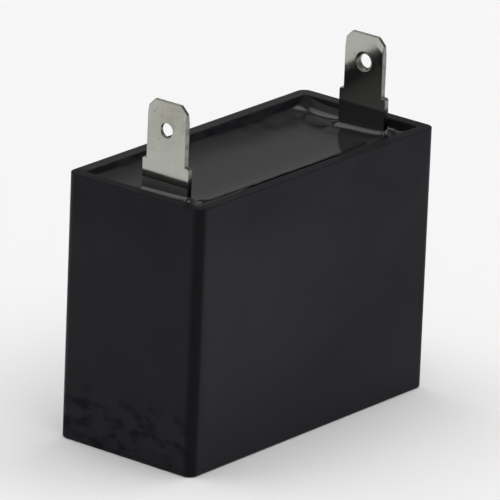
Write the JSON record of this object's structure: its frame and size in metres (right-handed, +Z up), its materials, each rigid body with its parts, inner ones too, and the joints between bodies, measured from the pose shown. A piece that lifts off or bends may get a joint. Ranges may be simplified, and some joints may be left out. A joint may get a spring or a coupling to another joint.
{
  "type": "box film capacitor",
  "caption": "Oblong dark plastic case, open at the top and potted with glossy resin, with flat quick-connect tabs standing at its ends; stores charge for a small motor.",
  "frame": {"origin": "centre of the underside of the case", "axes": "+Z up towards the tabs, +X along the case from the left tab to the right tab, +Y across the case, away from the long wall that the tabs stand nearer to"},
  "size_m": [0.048, 0.022, 0.0474],
  "materials": {
    "case": "satin moulded plastic, lightly smudged",
    "resin": "glossy cast resin",
    "film": "metallised plastic film, silvery",
    "zinc": "sprayed zinc, matt and grainy",
    "solder": "tin solder",
    "tab": "bright tin plating"
  },
  "bodies": {
    "root": {"case": "case", "potting_resin": "resin", "film_winding": "film", "end_spray_left": "zinc", "end_spray_right": "zinc", "solder_left": "solder", "solder_right": "solder", "tab_left": "tab", "tab_right": "tab"}
  },
  "joints": []
}
